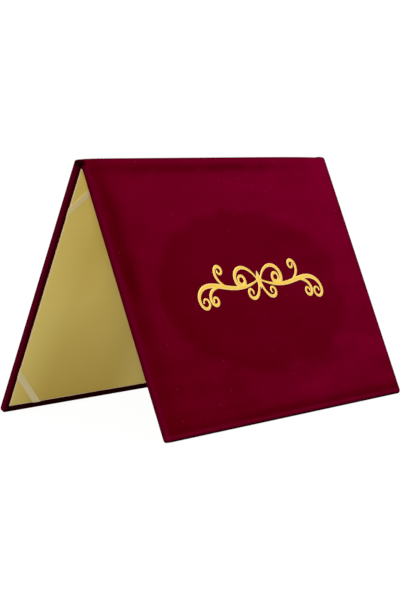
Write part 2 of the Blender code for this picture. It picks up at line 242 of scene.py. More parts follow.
def thick_sheet(name, outer, inner, quads, material, **marks):
    """A closed sheet from its outer points, the inner point below each, and the cells between them.

    Points that fall together are merged, which turns some cells into triangles and drops others. The inner
    side has the same cells turned over, and every edge that only one cell uses is closed with a strip
    between the sides. Marks are numbers or places kept at each point for the finish to read.
    """
    _, first, merged = np.unique(outer.round(MERGE_DIGITS), axis=0, return_index=True, return_inverse=True)
    outer, inner = outer[first], inner[first]
    count = len(outer)
    quads = merged.reshape(-1)[quads]
    same = quads == np.roll(quads, -1, axis=1)
    whole = quads[same.sum(axis=1) == 0]
    pinched = same.sum(axis=1) == 1
    triangles = quads[pinched][~same[pinched]].reshape(-1, 3)
    cells = (whole, triangles)
    starts = np.concatenate([cell.reshape(-1) for cell in cells])
    ends = np.concatenate([np.roll(cell, -1, axis=1).reshape(-1) for cell in cells])
    lone = ~np.isin(starts * count + ends, ends * count + starts)
    start, end = starts[lone], ends[lone]
    rim = np.stack((end, start, start + count, end + count), axis=-1)
    turned = [cell[:, ::-1] + count for cell in cells]
    faces = [face for cell in (*cells, *turned, rim) for face in cell.tolist()]
    made = add_piece(name, np.concatenate((outer, inner)), faces, material)
    for mark, values in marks.items():
        kind, field = ("FLOAT", "value") if values.ndim == 1 else ("FLOAT_VECTOR", "vector")
        kept = np.concatenate((values[first], values[first])).astype(np.float32)
        made.data.attributes.new(mark, kind, "POINT").data.foreach_set(field, kept.reshape(-1))
    return made


def pad_sheet(name, side, material):
    """A pad, whose outer face follows the swell and falls off at its edges as an exponential curve.

    Its inner face lies on the board.
    """
    columns, rows = PAD_CELLS
    x = np.linspace(-1, 1, columns) * (HALF_WIDTH - PAD_INSET)
    run = np.linspace(run_at(PAD_TOP), BOTTOM_RUN - PAD_INSET, rows)
    x, run = np.meshgrid(x, run)
    edge = np.minimum(HALF_WIDTH - PAD_INSET - np.abs(x), np.minimum(run - run[0], run[-1] - run))
    drop = PAD_RIM * np.exp(-edge / PAD_RIM_REACH)
    outer = folded(x, run, PAD_DEPTH - swell(x, run) + drop, side).reshape(-1, 3)
    inner = folded(x, run, PAD_BACK_DEPTH, side).reshape(-1, 3)
    return thick_sheet(name, outer, inner, grid_quads(rows, columns)[:, ::side], material)


# Polyether foam gives the eye a matt cream full of tiny open cells.
foam = grained_finish(
    "polyether foam",
    FOAM_ROUGHNESS,
    FOAM_SHADES,
    FOAM_RELIEF,
    "TexVoronoi",
    "Distance",
    Scale=1 / FOAM_CELL,
)

for cover, side in SIDES.items():
    pad = pad_sheet(cover + "_foam_pad", side, foam)
    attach(pad, cover + "_cover")
    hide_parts(cover + "_pad")

# The velvet
# One sheet of crimson velvet is drawn over both pads and the spine, and its edges are turned in and glued
# behind the boards. It is made here as two halves that meet along the middle of the spine. Between its rim
# and the lining the turned-in velvet is crushed down into a narrow groove. It is coloured almost black there,
# partly for the crushed pile and partly as painted shade, which is deepest along the bottom border.

VELVET = 0.0008
PILE = 0.00045
CORNER_RADIUS = 0.003
RIM_RADIUS = 0.0014
INNER_RIM_RADIUS = 0.0004
RIM_SHARE = 0.45
LEAST_BEND = 0.00005
RIM_STEPS = 6
CORNER_STEPS = 8
FACE_INSETS = (0.006, 0.0042, 0.0029, 0.002)
SIDE_BORDER = 0.0046
BOTTOM_BORDER = 0.0063
GROOVE = 0.00055
GROOVE_WALL = 0.0002
CRUSH = 0.00055
BORDER_FALL_SHARES = (0.15, 0.35, 0.6, 1.0, 1.0)
TURN_IN = 0.015
TURN_IN_TOP = 0.0051
END_WALL = 0.00085

COVER_DEPTH = 0.0049
SPINE_DEPTH = 0.0026
FOLD_PINCH = 0.0007
PINCH_REACH = 0.0022
THICKENING = (0.0012, 0.0028)
SPINE_CROWN = 0.0009
LEFT_CROWN_REACH = 0.006
RIGHT_CROWN_REACH = 0.028
EAR_HEIGHT = 0.0009
EAR_REACH = 0.0013

SPINE_STEPS = 4
FOLD_STEPS = 9
ROWS_NEAR_FOLD = (0.0025, 0.003, 0.0036, 0.0042, 0.005, 0.0052, 0.0066, 0.009)
FIRST_FACE_ROW = 0.012
FACE_ROWS = 64
FACE_COLUMNS = 92
BLEND_DOWN = 0.004
BLEND_SPINE = 0.0035
VELVET_MARKS = ("cloth", "dark", "rim", "band", "crest")

CRIMSON = "#82002D"
WINE = "#540004"
# Painted shade on the rims, the end walls and the ridge.
RIM_PAINTED_SHADE = "#5A0019"
# The turned-in border's crushed pile with painted shade, and painted shade at the foot and the spine's ends.
CRUSHED_AND_SHADED = "#240202"
# The side borders take only this share of it, as painted shade deepens the bottom border.
SIDE_BORDER_DARK_SHARE = 0.55
LINT = "#86303C"
FLATTENED = "#000000"
PATCH = 0.05
PATCH_DETAIL = 4.0
PATCH_ROUGHNESS = 0.68
BRUSH_WIDTH = 0.016
BRUSH_LENGTH = 0.11
BRUSH_DETAIL = 2.0
PILE_GRAIN = 0.0012
PILE_DETAIL = 1.0
PILE_RELIEF = 0.00012
LINT_SPACING = 0.012
LINT_RADIUS = 0.0004
VELVET_ROUGHNESS = 0.85
VELVET_SHEEN = 0.08
VELVET_GLOSS = 0.0
SHEEN_ROUGHNESS = 0.35
BRUSH_SHARE = 0.4
NAP_SPREAD = (0.33, 0.67)
TREND_SHARES = (0.85, 0.5)
PLATE_MIDDLE_RUN = 0.125
PLATE_HALF_SIZE = (0.123, 0.073)
PLATE_EDGE_SHARES = (0.92, 1.04)
PLATE_WAVER_SHARE = 0.3
PLATE_SHARE = 0.4
CRESCENT_EDGE_SHARE = 0.72
CRESCENT_SLANT = (-0.25, -0.12)
CRESCENT_SHARE = 0.6
DARK_TURN = (0.0034, 0.0052)
# A painted highlight where the pile starts to turn over the bottom edge.
CREST = (0.0028, 0.0011)
CREST_SHARE = 0.2
CREST_CRIMSON = "#8C1038"
LEFT_BAND = (0.0105, 0.0105)
LEFT_BAND_RUN = (0.085, 0.1)
LEFT_BAND_SHARE = 1.35
BOTTOM_BAND = (0.0068, 0.003)
TOP_BAND = (0.0055, 0.0052)
TOP_BAND_FADE = 0.15
BAND_PATCH = 0.022
BAND_DETAIL = 4.0
BAND_SPREAD = (0.35, 0.6)
BAND_SHARES = (0.5, 0.85)
BAND_CRIMSON = "#4F0008"
# Reaches of the painted shade at the rims, the foot, the spine's ends and the ridge.
RIM_SHADE = (0.0008, 0.0042)
RIGHT_RIM_SHADE = (0.0012, 0.0034)
FOOT_SHADE = (-0.0012, 0.0002)
END_SHADE = (-0.0004, 0.0006)
END_REACH = 0.003
RIDGE_SHADE = (0.003, 0.0078)


def near_to(value, middle, width):
    """Is 1 at the middle and falls off to both sides as a bell curve of that width."""
    return np.exp(-(((value - middle) / width) ** 2))


def eased(value, start, end):
    """Goes from 0 to 1 between two values, along a cubic curve that starts and ends level."""
    share = np.clip((value - start) / (end - start), 0, 1)
    return share * share * (3 - 2 * share)


def thickness_at(run):
    """The holder's thickness at a run: thin on the spine, pinched at the fold, then full on the board."""
    down = run - FOLD_RUN + FOLD_CUT
    thin = SPINE_DEPTH - FOLD_PINCH * near_to(down, 0, PINCH_REACH)
    return thin + (COVER_DEPTH - thin) * eased(down, *THICKENING)


def ridge_lift(x, run):
    """How far the spine stands up: a low crown along it, and at its right end a folded ear of velvet."""
    from_left = np.minimum(x, 0) + HALF_WIDTH
    from_right = HALF_WIDTH - np.maximum(x, 0)
    ends = (1 - np.exp(-from_left / LEFT_CROWN_REACH)) * (1 - np.exp(-from_right / RIGHT_CROWN_REACH))
    crown = SPINE_CROWN * ends
    ear = EAR_HEIGHT * near_to(x, HALF_WIDTH, EAR_REACH)
    return (crown + ear) * (1 - eased(run, 0, FOLD_RUN))


def edge_profile(thickness, local, reach):
    """The profile of the turned edge at each station, a given thickness in from the velvet's outer side.

    It comes in over the face, turns a quarter circle at each rim, the inner one sharper, falls over the
    border into the groove beside the lining, and goes on under it, no further than reach. Only the pile's
    side falls: the cloth's own side stays flat on the board. It returns the insets from the side edges and
    from the bottom edge, the depth, and how much of the face's swell each point shares.
    """
    turn = np.linspace(0, math.pi / 2, RIM_STEPS)[:, None]
    arcs = []
    for radius in (RIM_RADIUS, INNER_RIM_RADIUS):
        centre = np.maximum(np.minimum(radius, RIM_SHARE * local), thickness + LEAST_BEND)
        bend = centre - thickness
        arcs.append((centre - bend * np.sin(turn), centre - bend * np.cos(turn)))
    (outer_inset, outer_depth), (inner_inset, inner_depth) = arcs
    face = np.array(FACE_INSETS)[:, None] + 0 * local
    insets = []
    for border in (SIDE_BORDER, BOTTOM_BORDER):
        groove = border - GROOVE
        stops = ((INNER_RIM_RADIUS + groove) / 2, groove - GROOVE_WALL, groove, groove + GROOVE_WALL, TURN_IN)
        inner = np.concatenate((inner_inset[::-1], np.array(stops)[:, None] + 0 * local))
        insets.append(np.concatenate((face, outer_inset, np.minimum(inner, reach))))
    crushed = CRUSH - thickness if thickness < 0 else 0
    falls = crushed * np.array(BORDER_FALL_SHARES)[:, None]
    turned = np.concatenate((local - inner_depth[::-1], local - thickness - falls))
    depth = np.concatenate((0 * face + thickness, outer_depth, turned))
    shared = np.concatenate((0 * face + 1, 0 * outer_depth + 1, 0 * turned))
    return (*insets, depth, shared)


def velvet_marks(side, x, run, depth, pressed):
    """The five marks that the velvet's finish reads at each point.

    cloth is the place on the cloth. dark says how far it is turned in behind the board, less so beside the
    side edges, or lies at the foot or at an end of the spine. Its darkness is partly the crushed pile of the
    turned-in border and partly painted shade: all of it at the foot and the spine's ends, and the extra depth
    of the bottom border. rim is painted shade near a rim or the ridge, band how near the middle of a darker
    band beside an edge or the fold, and crest how much light the pile catches as it starts to turn over the
    bottom edge, a painted highlight.
    """
    from_left, from_right, from_bottom = HALF_WIDTH + x, HALF_WIDTH - x, BOTTOM_RUN - run
    from_side = np.minimum(from_left, from_right)
    # Painted shade at the foot and at the spine's ends, and the border's crushed pile deepened by painted
    # shade.
    foot = eased(-from_bottom, *FOOT_SHADE)
    spine_end = (1 - eased(from_side, *END_SHADE)) * (1 - eased(run, FOLD_RUN, FOLD_RUN + END_REACH))
    dark = np.maximum(np.maximum(foot, spine_end), pressed * eased(depth, *DARK_TURN))
    # Painted shade near the left, bottom and right rims and along the ridge.
    within = eased(from_left, *RIM_SHADE) * eased(from_bottom, *RIM_SHADE)
    rim = 1 - within * eased(from_right, *RIGHT_RIM_SHADE) * eased(run, *RIDGE_SHADE)
    left_band = LEFT_BAND_SHARE * near_to(from_left, *LEFT_BAND) * near_to(run, *LEFT_BAND_RUN)
    top_band = near_to(run - FOLD_RUN, *TOP_BAND) * eased(from_right, 0, TOP_BAND_FADE)
    band = np.maximum(np.maximum(left_band, top_band), near_to(from_bottom, *BOTTOM_BAND))
    crest = CREST_SHARE * near_to(from_bottom, *CREST)
    cloth = np.stack((x, side * run, depth), axis=-1)
    return dict(zip(VELVET_MARKS, (cloth, dark, rim, band, crest)))


def velvet_side(side, thickness, rows, columns):
    """One side of the velvet and its marks: a grid over the face, then its profile round three edges.

    The stations go down the left edge, round a corner, along the bottom, round a corner, and up the right
    edge. A corner is a quarter circle whose radius is what an inset leaves of CORNER_RADIUS, and a point once
    nothing is left. No point goes below the table, where the pile is pressed flat.
    """
    corner = np.linspace(0, math.pi / 2, CORNER_STEPS)
    parts = (rows, corner, columns, corner, rows)
    hand = np.repeat((-1, -1, 0, 1, 1), [len(part) for part in parts])
    on_side = np.repeat((True, False, False, False, True), [len(part) for part in parts])
    turn = np.concatenate((0 * rows, corner, 0 * columns + math.pi / 2, corner[::-1], 0 * rows))
    fixed_x = np.concatenate((0 * rows, 0 * corner, columns, 0 * corner, 0 * rows))
    fixed_run = np.concatenate((rows, 0 * corner, 0 * columns, 0 * corner, rows[::-1]))
    local = np.where(on_side, thickness_at(fixed_run), COVER_DEPTH)[None]
    reach = np.where(on_side & (fixed_run < run_at(TURN_IN_TOP)), END_WALL, TURN_IN)
    side_inset, bottom_inset, depth, shared = edge_profile(thickness, local, reach)
    # The border's darkness: crushed pile with painted shade, which is deepest on the bottom border.
    pressed = (1 - shared) * (SIDE_BORDER_DARK_SHARE + (1 - SIDE_BORDER_DARK_SHARE) * np.sin(turn))
    side_round = np.maximum(CORNER_RADIUS - side_inset, 0)
    bottom_round = np.maximum(CORNER_RADIUS - bottom_inset, 0)
    x = hand * (HALF_WIDTH - side_inset - side_round * (1 - np.cos(turn)))
    x = np.where(hand == 0, fixed_x, x)
    run = BOTTOM_RUN - bottom_inset - bottom_round * (1 - np.sin(turn))
    run = np.where(on_side, fixed_run, run)
    face_x, face_run = (part.reshape(-1) for part in np.meshgrid(columns, rows))
    x = np.concatenate((face_x, x.reshape(-1)))
    run = np.concatenate((face_run, run.reshape(-1)))
    depth = np.concatenate((0 * face_x + thickness, depth.reshape(-1)))
    shared = np.concatenate((0 * face_x + 1, shared.reshape(-1)))
    pressed = np.concatenate((0 * face_x, pressed.reshape(-1)))
    depth = depth - shared * (swell(x, run) + ridge_lift(x, run))
    place = folded(x, run, depth, side)
    place[:, 2] = np.maximum(place[:, 2], 0)
    return place, velvet_marks(side, x, run, depth, pressed)


def velvet_half(name, side, material):
    """One half of the velvet, from the middle of the spine to the turned-in bottom edge of a cover."""
    rows = np.concatenate(
        (
            np.linspace(0, FLAT_SPINE, SPINE_STEPS)[:-1],
            np.linspace(FLAT_SPINE, FOLD_RUN, FOLD_STEPS),
            run_at(np.array(ROWS_NEAR_FOLD)),
            np.linspace(run_at(FIRST_FACE_ROW), BOTTOM_RUN - FACE_INSETS[0], FACE_ROWS),
        )
    )
    columns = np.linspace(-1, 1, FACE_COLUMNS) * (HALF_WIDTH - FACE_INSETS[0])
    outer, marks = velvet_side(side, -PILE, rows, columns)
    inner, _ = velvet_side(side, VELVET, rows, columns)
    face_count = len(rows) * len(columns)
    stations = 2 * len(rows) + 2 * CORNER_STEPS + len(columns)
    rings = (len(outer) - face_count) // stations
    edge_quads = grid_quads(rings, stations) + face_count
    quads = np.concatenate((grid_quads(len(rows), len(columns)), edge_quads))[:, ::side]
    return thick_sheet(name, outer, inner, quads, material, **marks)


# Cotton-backed velvet gives the eye a deep crimson that drinks the light. Its nap is cloudy from hand and
# brush, and the velvet is brighter towards the upper right. It is darker in a wide oval round the foil, where
# the die's plate pressed it, most along its lower left edge, and in bands beside the edges. Painted shade
# darkens it at its rims, along the ridge, at the foot and at the spine's ends, and deepens the crushed
# turned-in border, most on the bottom border. A painted highlight lightens it where it turns over the bottom
# edge. There is a speck of lint here and there. The real pile is far finer than this grain, which is as fine
# as still shows.
velvet, tree, shader, _ = start_material("brushed crimson velvet", VELVET_ROUGHNESS)
shader.inputs["Sheen Weight"].default_value = VELVET_SHEEN
shader.inputs["Sheen Roughness"].default_value = SHEEN_ROUGHNESS
shader.inputs["Sheen Tint"].default_value = linear(CRIMSON)
shader.inputs["Specular IOR Level"].default_value = VELVET_GLOSS
cloth = add_node(tree, "Attribute", {}, attribute_name="cloth").outputs["Vector"]
dark, rim, band, crest = (
    add_node(tree, "Attribute", {}, attribute_name=mark).outputs["Fac"] for mark in VELVET_MARKS[1:]
)
patches = {"Scale": 1 / PATCH, "Detail": PATCH_DETAIL, "Roughness": PATCH_ROUGHNESS}
clouds = add_node(tree, "TexNoise", {"Vector": cloth, **patches}).outputs["Fac"]
brush_size = (1 / BRUSH_LENGTH, 1 / BRUSH_WIDTH, 1 / BRUSH_WIDTH)
along_brush = add_node(tree, "Mapping", {"Vector": cloth, "Scale": brush_size}).outputs["Vector"]
brushing = {"Vector": along_brush, "Scale": 1.0, "Detail": BRUSH_DETAIL}
strokes = add_node(tree, "TexNoise", brushing).outputs["Fac"]
brushed = add_node(tree, "MixRGB", {"Fac": BRUSH_SHARE, "Color1": clouds, "Color2": strokes}).outputs["Color"]
low, high = NAP_SPREAD
spread = add_node(tree, "MapRange", {"Value": brushed, "From Min": low, "From Max": high}).outputs["Result"]
across, down, _ = add_node(tree, "SeparateXYZ", {"Vector": cloth}).outputs
fallen = add_node(tree, "Math", {0: down}, operation="ABSOLUTE").outputs["Value"]
slant = add_node(tree, "Math", {0: across, 1: fallen}, operation="SUBTRACT").outputs["Value"]
lowest, highest = -HALF_WIDTH - BOTTOM_RUN, HALF_WIDTH
rising = {"Value": slant, "From Min": lowest, "From Max": highest}
trend = add_node(tree, "MapRange", rising).outputs["Result"]
spot = add_node(tree, "Math", {0: across, 1: fallen}, operation="ADD").outputs["Value"]
upper_left, lower_right = TREND_SHARES
evenness = {"From Min": -highest, "From Max": -lowest, "To Min": upper_left, "To Max": lower_right}
even = add_node(tree, "MapRange", {"Value": spot, **evenness}).outputs["Result"]
stroked = add_node(tree, "MixRGB", {"Fac": even, "Color1": spread, "Color2": trend}).outputs["Color"]
half_long, half_high = PLATE_HALF_SIZE
plate_size = (1 / half_long, 1 / half_high, 0.0)
plate_place = (0.0, PLATE_MIDDLE_RUN / half_high, 0.0)
laid_out = {"Vector": cloth, "Location": plate_place, "Scale": plate_size}
on_plate = add_node(tree, "Mapping", laid_out).outputs["Vector"]
from_plate = add_node(tree, "VectorMath", {0: on_plate}, operation="LENGTH").outputs["Value"]
waver = {0: clouds, 1: PLATE_WAVER_SHARE, 2: from_plate}
wavered = add_node(tree, "Math", waver, operation="MULTIPLY_ADD").outputs["Value"]
inside, outside = (edge + PLATE_WAVER_SHARE / 2 for edge in PLATE_EDGE_SHARES)
flattened = {"From Min": inside, "From Max": outside, "To Min": PLATE_SHARE, "To Max": 0.0}
plate = add_node(tree, "MapRange", {"Value": wavered, **flattened}).outputs["Result"]
near_edge = {"From Min": CRESCENT_EDGE_SHARE + PLATE_WAVER_SHARE / 2, "From Max": inside}
ring = add_node(tree, "MapRange", {"Value": wavered, **near_edge}).outputs["Result"]
low, high = CRESCENT_SLANT
low_left = {"From Min": low, "From Max": high, "To Min": CRESCENT_SHARE, "To Max": 0.0}
lean = add_node(tree, "MapRange", {"Value": slant, **low_left}).outputs["Result"]
crescent = add_node(tree, "Math", {0: ring, 1: lean}, operation="MULTIPLY").outputs["Value"]
pressing = {0: plate, 1: crescent, 2: plate}
pressed = add_node(tree, "Math", pressing, operation="MULTIPLY_ADD").outputs["Value"]
standing = {"Fac": pressed, "Color1": stroked, "Color2": linear(FLATTENED)}
upright = add_node(tree, "MixRGB", standing).outputs["Color"]
nap = add_node(tree, "MixRGB", {"Fac": upright, "Color1": linear(WINE), "Color2": linear(CRIMSON)})
blotches = {"Vector": cloth, "Scale": 1 / BAND_PATCH, "Detail": BAND_DETAIL}
blots = add_node(tree, "TexNoise", blotches).outputs["Fac"]
low, high = BAND_SPREAD
least, most = BAND_SHARES
blotting = {"From Min": low, "From Max": high, "To Min": least, "To Max": most}
blotted = add_node(tree, "MapRange", {"Value": blots, **blotting}).outputs["Result"]
banding = add_node(tree, "Math", {0: band, 1: blotted}, operation="MULTIPLY").outputs["Value"]
specks = add_node(tree, "TexVoronoi", {"Vector": cloth, "Scale": 1 / LINT_SPACING}).outputs["Distance"]
speck = {0: specks, 1: LINT_RADIUS / LINT_SPACING}
lint = add_node(tree, "Math", speck, operation="LESS_THAN").outputs["Value"]
layers = (
    (banding, BAND_CRIMSON),
    (rim, RIM_PAINTED_SHADE),
    (crest, CREST_CRIMSON),
    (dark, CRUSHED_AND_SHADED),
    (lint, LINT),
)
colour = nap.outputs["Color"]
for share, shade in layers:
    layer = {"Fac": share, "Color1": colour, "Color2": linear(shade)}
    colour = add_node(tree, "MixRGB", layer).outputs["Color"]
pile = add_node(tree, "TexNoise", {"Vector": cloth, "Scale": 1 / PILE_GRAIN, "Detail": PILE_DETAIL})
end_material(tree, shader, colour, pile.outputs["Fac"], PILE_RELIEF)

for cover, side in SIDES.items():
    half = velvet_half(cover + "_velvet_half", side, velvet)
    start = folded(0, run_at(BLEND_DOWN), 0, side)
    end = folded(0, HALF_SPINE - BLEND_SPINE, 0, side)
    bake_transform(half)
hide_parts("front_velvet", "spine_velvet")
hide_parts("back_velvet")

# The joint cloth
# A strip of the same velvet lines the inside of the fold. It is glued to the spine, runs slack across the
# gap to each board, laps over the board's end, and is pressed flat under the top of the lining.

JOINT_CLOTH = 0.0004
JOINT_HALF_WIDTH = 0.1565
TONGUE_HALF_WIDTH = 0.1423
SPINE_PATH = ((0, 0.0024), (0.0016, 0.0024), (0.0032, 0.0024))
COVER_PATH = (
    (0.0032, 0.003),
    (0.0032, 0.0043),
    (0.0038, 0.0046),
    (0.005, 0.0046),
    (0.0064, 0.00422),
    (0.013, 0.00422),
    (0.02, 0.00422),
)
TONGUE_START = 0.0055
CUT_ROUNDS = 2
CUT_SHARE = 0.25
JOINT_COLUMNS = 40


def cut_corners(path):
    """Rounds a path by cutting its corners: each stretch gives two points, a set share in from its ends."""
    start, end = path[:-1], path[1:]
    near = start + (end - start) * CUT_SHARE
    far = end - (end - start) * CUT_SHARE
    inner = np.stack((near, far), axis=1).reshape(-1, path.shape[1])
    return np.concatenate((path[:1], inner[1:-1], path[-1:]))


def joint_half(name, side, material):
    """Half of the joint cloth: its rounded section in y and z, thickened to both sides, carried along x.

    The two paths give each point's depth, and its run or its way down from the fold line.
    """
    spine_run, spine_in = np.array(SPINE_PATH).T
    cover_down, cover_in = np.array(COVER_PATH).T
    spine_part = folded(0, spine_run, spine_in, side)
    cover_part = folded(0, run_at(cover_down), cover_in, side)
    down = np.concatenate((0 * spine_run, cover_down))
    width = np.where(down < TONGUE_START, JOINT_HALF_WIDTH, TONGUE_HALF_WIDTH)
    path = np.column_stack((np.concatenate((spine_part, cover_part))[:, 1:], width))
    for _ in range(CUT_ROUNDS):
        path = cut_corners(path)
    section, width = path[:, :2], path[:, 2]
    along = np.gradient(section, axis=0)
    across = np.column_stack((-along[:, 1], along[:, 0])) * side
    across /= np.linalg.norm(across, axis=1, keepdims=True)
    share = np.linspace(-1, 1, JOINT_COLUMNS)
    sides = []
    for shift in (-JOINT_CLOTH / 2, JOINT_CLOTH / 2):
        y, z = (section + across * shift).T
        grid = np.broadcast_arrays(width[:, None] * share, y[:, None], z[:, None])
        sides.append(np.stack(grid, axis=-1).reshape(-1, 3))
    below, above = sides
    run = np.repeat(np.cumsum(np.hypot(*along.T)), JOINT_COLUMNS)
    cloth = np.column_stack((above[:, 0], run, 0 * run))
    # The whole strip takes the darkest velvet colour: painted shade for the hollow inside the fold.
    dark = np.ones(len(cloth))
    quads = grid_quads(len(section), JOINT_COLUMNS)[:, ::side]
    return thick_sheet(name, above, below, quads, material, cloth=cloth, dark=dark)


for cover, side in SIDES.items():
    half = joint_half(cover + "_joint_cloth", side, velvet)
    start = folded(0, run_at(BLEND_DOWN), 0, side)
    end = folded(0, HALF_SPINE - BLEND_SPINE, 0, side)
    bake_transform(half)
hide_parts("front_hinge_cloth", "spine_hinge_cloth")
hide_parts("back_hinge_cloth")

# The lining panels
# A stiff pale card carries a sheet of satin gold paper, and is glued inside each cover over the turned-in
# velvet. The guillotine leaves the card's edge bare, and it catches the light as a thin pale line.

PANEL_TOP = 0.0054
PANEL_BOTTOM = COVER_HEIGHT - BOTTOM_BORDER
PANEL_HALF_WIDTH = HALF_WIDTH - SIDE_BORDER
LINING = 0.00015
PAPER_INSET = 0.0008
FRONT_CARD = (0.00455, 0.00505)
BACK_CARD = (0.0049, 0.0054)
PANEL_CELLS = (40, 30)
COCKLE = 0.00006
COCKLE_LENGTH = 0.07

CARD_SHADES = ("#E6CCA0", "#F5DFB8")
CARD_FIBRE = 0.0009
CARD_DETAIL = 3.0
CARD_RELIEF = 0.00003
CARD_ROUGHNESS = 0.8
GOLD_LIGHT = "#F3DB7B"
GOLD_DEEP = "#E6CC61"
# Painted shade towards the foot of the panel.
GOLD_PAINTED_SHADE = "#C4A434"
FOOT_HEIGHT = 0.095
FOOT_MIDDLE_REACH = 0.04
FOOT_MIDDLE_SHARE = 0.3
# A painted sheen towards the side edges.
GOLD_PAINTED_SHEEN = "#F8E27D"
PALE_REACH = 0.04
PALE_SHARE = 0.55
GOLD_CLOUD = 0.045
GOLD_CLOUD_DETAIL = 1.0
PAPER_GRAIN = 0.0011
PAPER_DETAIL = 2.0
PAPER_RELIEF = 0.00002
GOLD_ROUGHNESS = 0.55
GOLD_METALLIC = 0.15


def panel_plate(name, side, depths, inset, material):
    """A flat sheet of a lining panel between two depths, with the slow cockle that glue leaves in paper.

    The cockle is a sine wave across the panel times a squared sine wave down it.
    """
    columns, rows = PANEL_CELLS
    x = np.linspace(-1, 1, columns) * (PANEL_HALF_WIDTH - inset)
    run = run_at(np.linspace(PANEL_TOP + inset, PANEL_BOTTOM - inset, rows))
    x, run = np.meshgrid(x, run)
    cockle = COCKLE * np.sin(x / COCKLE_LENGTH * math.pi) * np.sin(run / COCKLE_LENGTH * math.pi) ** 2
    near, far = (folded(x, run, depth + cockle, side).reshape(-1, 3) for depth in depths)
    return thick_sheet(name, near, far, grid_quads(rows, columns)[:, ::side], material)


# Pulp card gives the eye a warm cream at its cut edge, with the faintest fibre.
card = grained_finish(
    "pale pulp card",
    CARD_ROUGHNESS,
    CARD_SHADES,
    CARD_RELIEF,
    "TexNoise",
    "Fac",
    Scale=1 / CARD_FIBRE,
    Detail=CARD_DETAIL,
)

# Satin gold paper is coated with bronze powder in lacquer. It gives the eye an old gold over a fine grain. It
# is a little cloudy. A paler gold towards its side edges is a painted sheen, and a deeper, browner gold
# towards the foot of the panel, less so at the middle of the foot, is painted shade.
gold_paper, tree, shader, place = start_material("satin gold paper", GOLD_ROUGHNESS)
shader.inputs["Metallic"].default_value = GOLD_METALLIC
cloudiness = {"Vector": place, "Scale": 1 / GOLD_CLOUD, "Detail": GOLD_CLOUD_DETAIL}
clouds = add_node(tree, "TexNoise", cloudiness).outputs["Fac"]
tint = add_node(tree, "MixRGB", {"Fac": clouds, "Color1": linear(GOLD_DEEP), "Color2": linear(GOLD_LIGHT)})
across, _, height = add_node(tree, "SeparateXYZ", {"Vector": place}).outputs
from_middle = add_node(tree, "Math", {0: across}, operation="ABSOLUTE").outputs["Value"]
# Painted shade: deeper towards the foot, less so at the middle of the foot.
foot_zone = {"Value": height, "From Min": FOOT_HEIGHT, "From Max": 0.0}
lowness = add_node(tree, "MapRange", foot_zone).outputs["Result"]
middle_zone = {"Value": from_middle, "From Max": FOOT_MIDDLE_REACH, "To Min": FOOT_MIDDLE_SHARE}
beside = add_node(tree, "MapRange", middle_zone, interpolation_type="SMOOTHSTEP").outputs["Result"]
painted_foot_shade = add_node(tree, "Math", {0: lowness, 1: beside}, operation="MULTIPLY").outputs["Value"]
# Painted sheen: paler towards the side edges.
side_zone = {"From Min": PANEL_HALF_WIDTH - PALE_REACH, "From Max": PANEL_HALF_WIDTH, "To Max": PALE_SHARE}
painted_sheen = add_node(tree, "MapRange", {"Value": from_middle, **side_zone}).outputs["Result"]
colour = tint.outputs["Color"]
for share, shade in ((painted_foot_shade, GOLD_PAINTED_SHADE), (painted_sheen, GOLD_PAINTED_SHEEN)):
    layer = {"Fac": share, "Color1": colour, "Color2": linear(shade)}
    colour = add_node(tree, "MixRGB", layer).outputs["Color"]
grain = add_node(tree, "TexNoise", {"Vector": place, "Scale": 1 / PAPER_GRAIN, "Detail": PAPER_DETAIL})
end_material(tree, shader, colour, grain.outputs["Fac"], PAPER_RELIEF)

for cover, card_depths in (("front", FRONT_CARD), ("back", BACK_CARD)):
    side = SIDES[cover]
    face = card_depths[1]
    panel_card = panel_plate(cover + "_card", side, card_depths, 0, card)
    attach(panel_card, cover + "_cover")
    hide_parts(cover + "_lining_card")
    paper = panel_plate(cover + "_gold_paper", side, (face, face + LINING), PAPER_INSET, gold_paper)
    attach(paper, cover + "_cover")
    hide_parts(cover + "_lining")

# The corner ribbons
# Four lengths of thin ivory satin ribbon cross the corners of the back lining, to hold a certificate. Each
# turns round the card's two edges, and its ends are glued down under the card.

RIBBON_WIDTH = 0.0062
RIBBON = 0.00015
RIBBON_GAP = 0.0002
RIBBON_TAIL = 0.008
TAIL_DEPTH = 0.00455
RIBBON_REACH = {"top": 0.0375, "bottom": 0.0305}
RIBBON_RISE = 0.00008
RIBBON_STEPS = 40
RIBBON_ROWS = 7

IVORY = "#FBE9AE"
IVORY_SHADE = "#E9D293"
SATIN_THREAD = 0.0006
SATIN_RELIEF = 0.00003
SATIN_ROUGHNESS = 0.4
SATIN_SHEEN = 0.2


